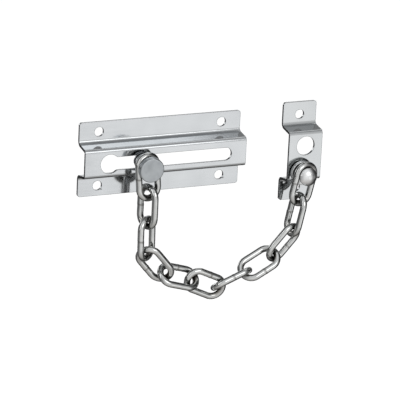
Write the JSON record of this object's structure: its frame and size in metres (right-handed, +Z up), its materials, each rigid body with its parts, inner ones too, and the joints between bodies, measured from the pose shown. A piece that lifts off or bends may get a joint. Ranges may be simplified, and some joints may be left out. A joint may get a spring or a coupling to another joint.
{
  "type": "door chain guard",
  "caption": "Door chain guard: slotted raised plate, slider with a button, hanging chain of welded wire links, and a small raised bracket with a domed stud.",
  "frame": {"origin": "centre of the slot plate's four screw holes, on the plates' common back plane", "axes": "+X along the slot from the keyhole towards the bracket, -Y away from the wall, +Z up"},
  "size_m": [0.1488, 0.0261, 0.1112],
  "materials": {
    "plate_steel": "satin nickel plated sheet",
    "slider_steel": "satin",
    "stud_steel": "polished",
    "chain_steel": "polished nickel plate"
  },
  "bodies": {
    "mounting_plates": {"slot_plate": "plate_steel", "chain_bracket": "plate_steel", "dome_stud": "stud_steel", "stud_collar": "stud_steel"},
    "slider": {"slider_button": "slider_steel", "slider_collar": "slider_steel", "slider_back_disc": "slider_steel"},
    "link_01": {"link_01": "chain_steel"},
    "link_02": {"link_02": "chain_steel"},
    "link_03": {"link_03": "chain_steel"},
    "link_04": {"link_04": "chain_steel"},
    "link_05": {"link_05": "chain_steel"},
    "link_06": {"link_06": "chain_steel"},
    "link_07": {"link_07": "chain_steel"},
    "link_08": {"link_08": "chain_steel"},
    "link_09": {"link_09": "chain_steel"},
    "link_10": {"link_10": "chain_steel"},
    "link_11": {"link_11": "chain_steel"}
  },
  "joints": [
    {"name": "slider_slide", "type": "slide", "parent": "mounting_plates", "child": "slider", "axis": [1, 0, 0], "range_m": [-0.0203, 0.051]},
    {"name": "slider_link_01", "type": "hinge", "parent": "slider", "child": "link_01", "pos_m": [-0.0145, -0.0183, -0.00138], "axis": [0, -1, 0], "range_deg": [-33, 14]},
    {"name": "link_01_link_02", "type": "hinge", "parent": "link_01", "child": "link_02", "pos_m": [-0.01575, -0.01819, -0.01753], "axis": [0, -1, 0], "range_deg": [-3, 6]},
    {"name": "link_02_link_03", "type": "hinge", "parent": "link_02", "child": "link_03", "pos_m": [-0.01629, -0.01797, -0.03585], "axis": [0, -1, 0], "range_deg": [-5, 12]},
    {"name": "link_03_link_04", "type": "hinge", "parent": "link_03", "child": "link_04", "pos_m": [-0.01239, -0.01775, -0.0536], "axis": [0, -1, 0], "range_deg": [-3, 2]},
    {"name": "link_04_link_05", "type": "hinge", "parent": "link_04", "child": "link_05", "pos_m": [-0.00347, -0.01753, -0.06867], "axis": [0, -1, 0], "range_deg": [-5, 11]},
    {"name": "link_05_link_06", "type": "hinge", "parent": "link_05", "child": "link_06", "pos_m": [0.01608, -0.01731, -0.07362], "axis": [0, -1, 0], "range_deg": [-4, 8]},
    {"name": "stud_link_11", "type": "hinge", "parent": "mounting_plates", "child": "link_11", "pos_m": [0.087, -0.0161, -0.0161], "axis": [0, -1, 0], "range_deg": [-18, 43]},
    {"name": "link_11_link_10", "type": "hinge", "parent": "link_11", "child": "link_10", "pos_m": [0.08961, -0.01621, -0.0318], "axis": [0, -1, 0], "range_deg": [-21, 9]},
    {"name": "link_10_link_09", "type": "hinge", "parent": "link_10", "child": "link_09", "pos_m": [0.08227, -0.01643, -0.05049], "axis": [0, -1, 0], "range_deg": [-11, 5]},
    {"name": "link_09_link_08", "type": "hinge", "parent": "link_09", "child": "link_08", "pos_m": [0.0699, -0.01665, -0.0646], "axis": [0, -1, 0], "range_deg": [-7, 3]},
    {"name": "link_08_link_07", "type": "hinge", "parent": "link_08", "child": "link_07", "pos_m": [0.05142, -0.01687, -0.07259], "axis": [0, -1, 0], "range_deg": [-5, 3]}
  ],
  "couplings": [
    {"joint": "slider_link_01", "follows": "slider_slide", "rad_per_m": -11.071},
    {"joint": "link_01_link_02", "follows": "slider_slide", "rad_per_m": 1.6335},
    {"joint": "link_02_link_03", "follows": "slider_slide", "rad_per_m": 3.7983},
    {"joint": "link_03_link_04", "follows": "slider_slide", "rad_per_m": -0.519},
    {"joint": "link_04_link_05", "follows": "slider_slide", "rad_per_m": 3.353},
    {"joint": "link_05_link_06", "follows": "slider_slide", "rad_per_m": 2.3117},
    {"joint": "stud_link_11", "follows": "slider_slide", "rad_per_m": 14.389},
    {"joint": "link_11_link_10", "follows": "slider_slide", "rad_per_m": -6.8656},
    {"joint": "link_10_link_09", "follows": "slider_slide", "rad_per_m": -3.4103},
    {"joint": "link_09_link_08", "follows": "slider_slide", "rad_per_m": -2.053},
    {"joint": "link_08_link_07", "follows": "slider_slide", "rad_per_m": -1.4389}
  ]
}
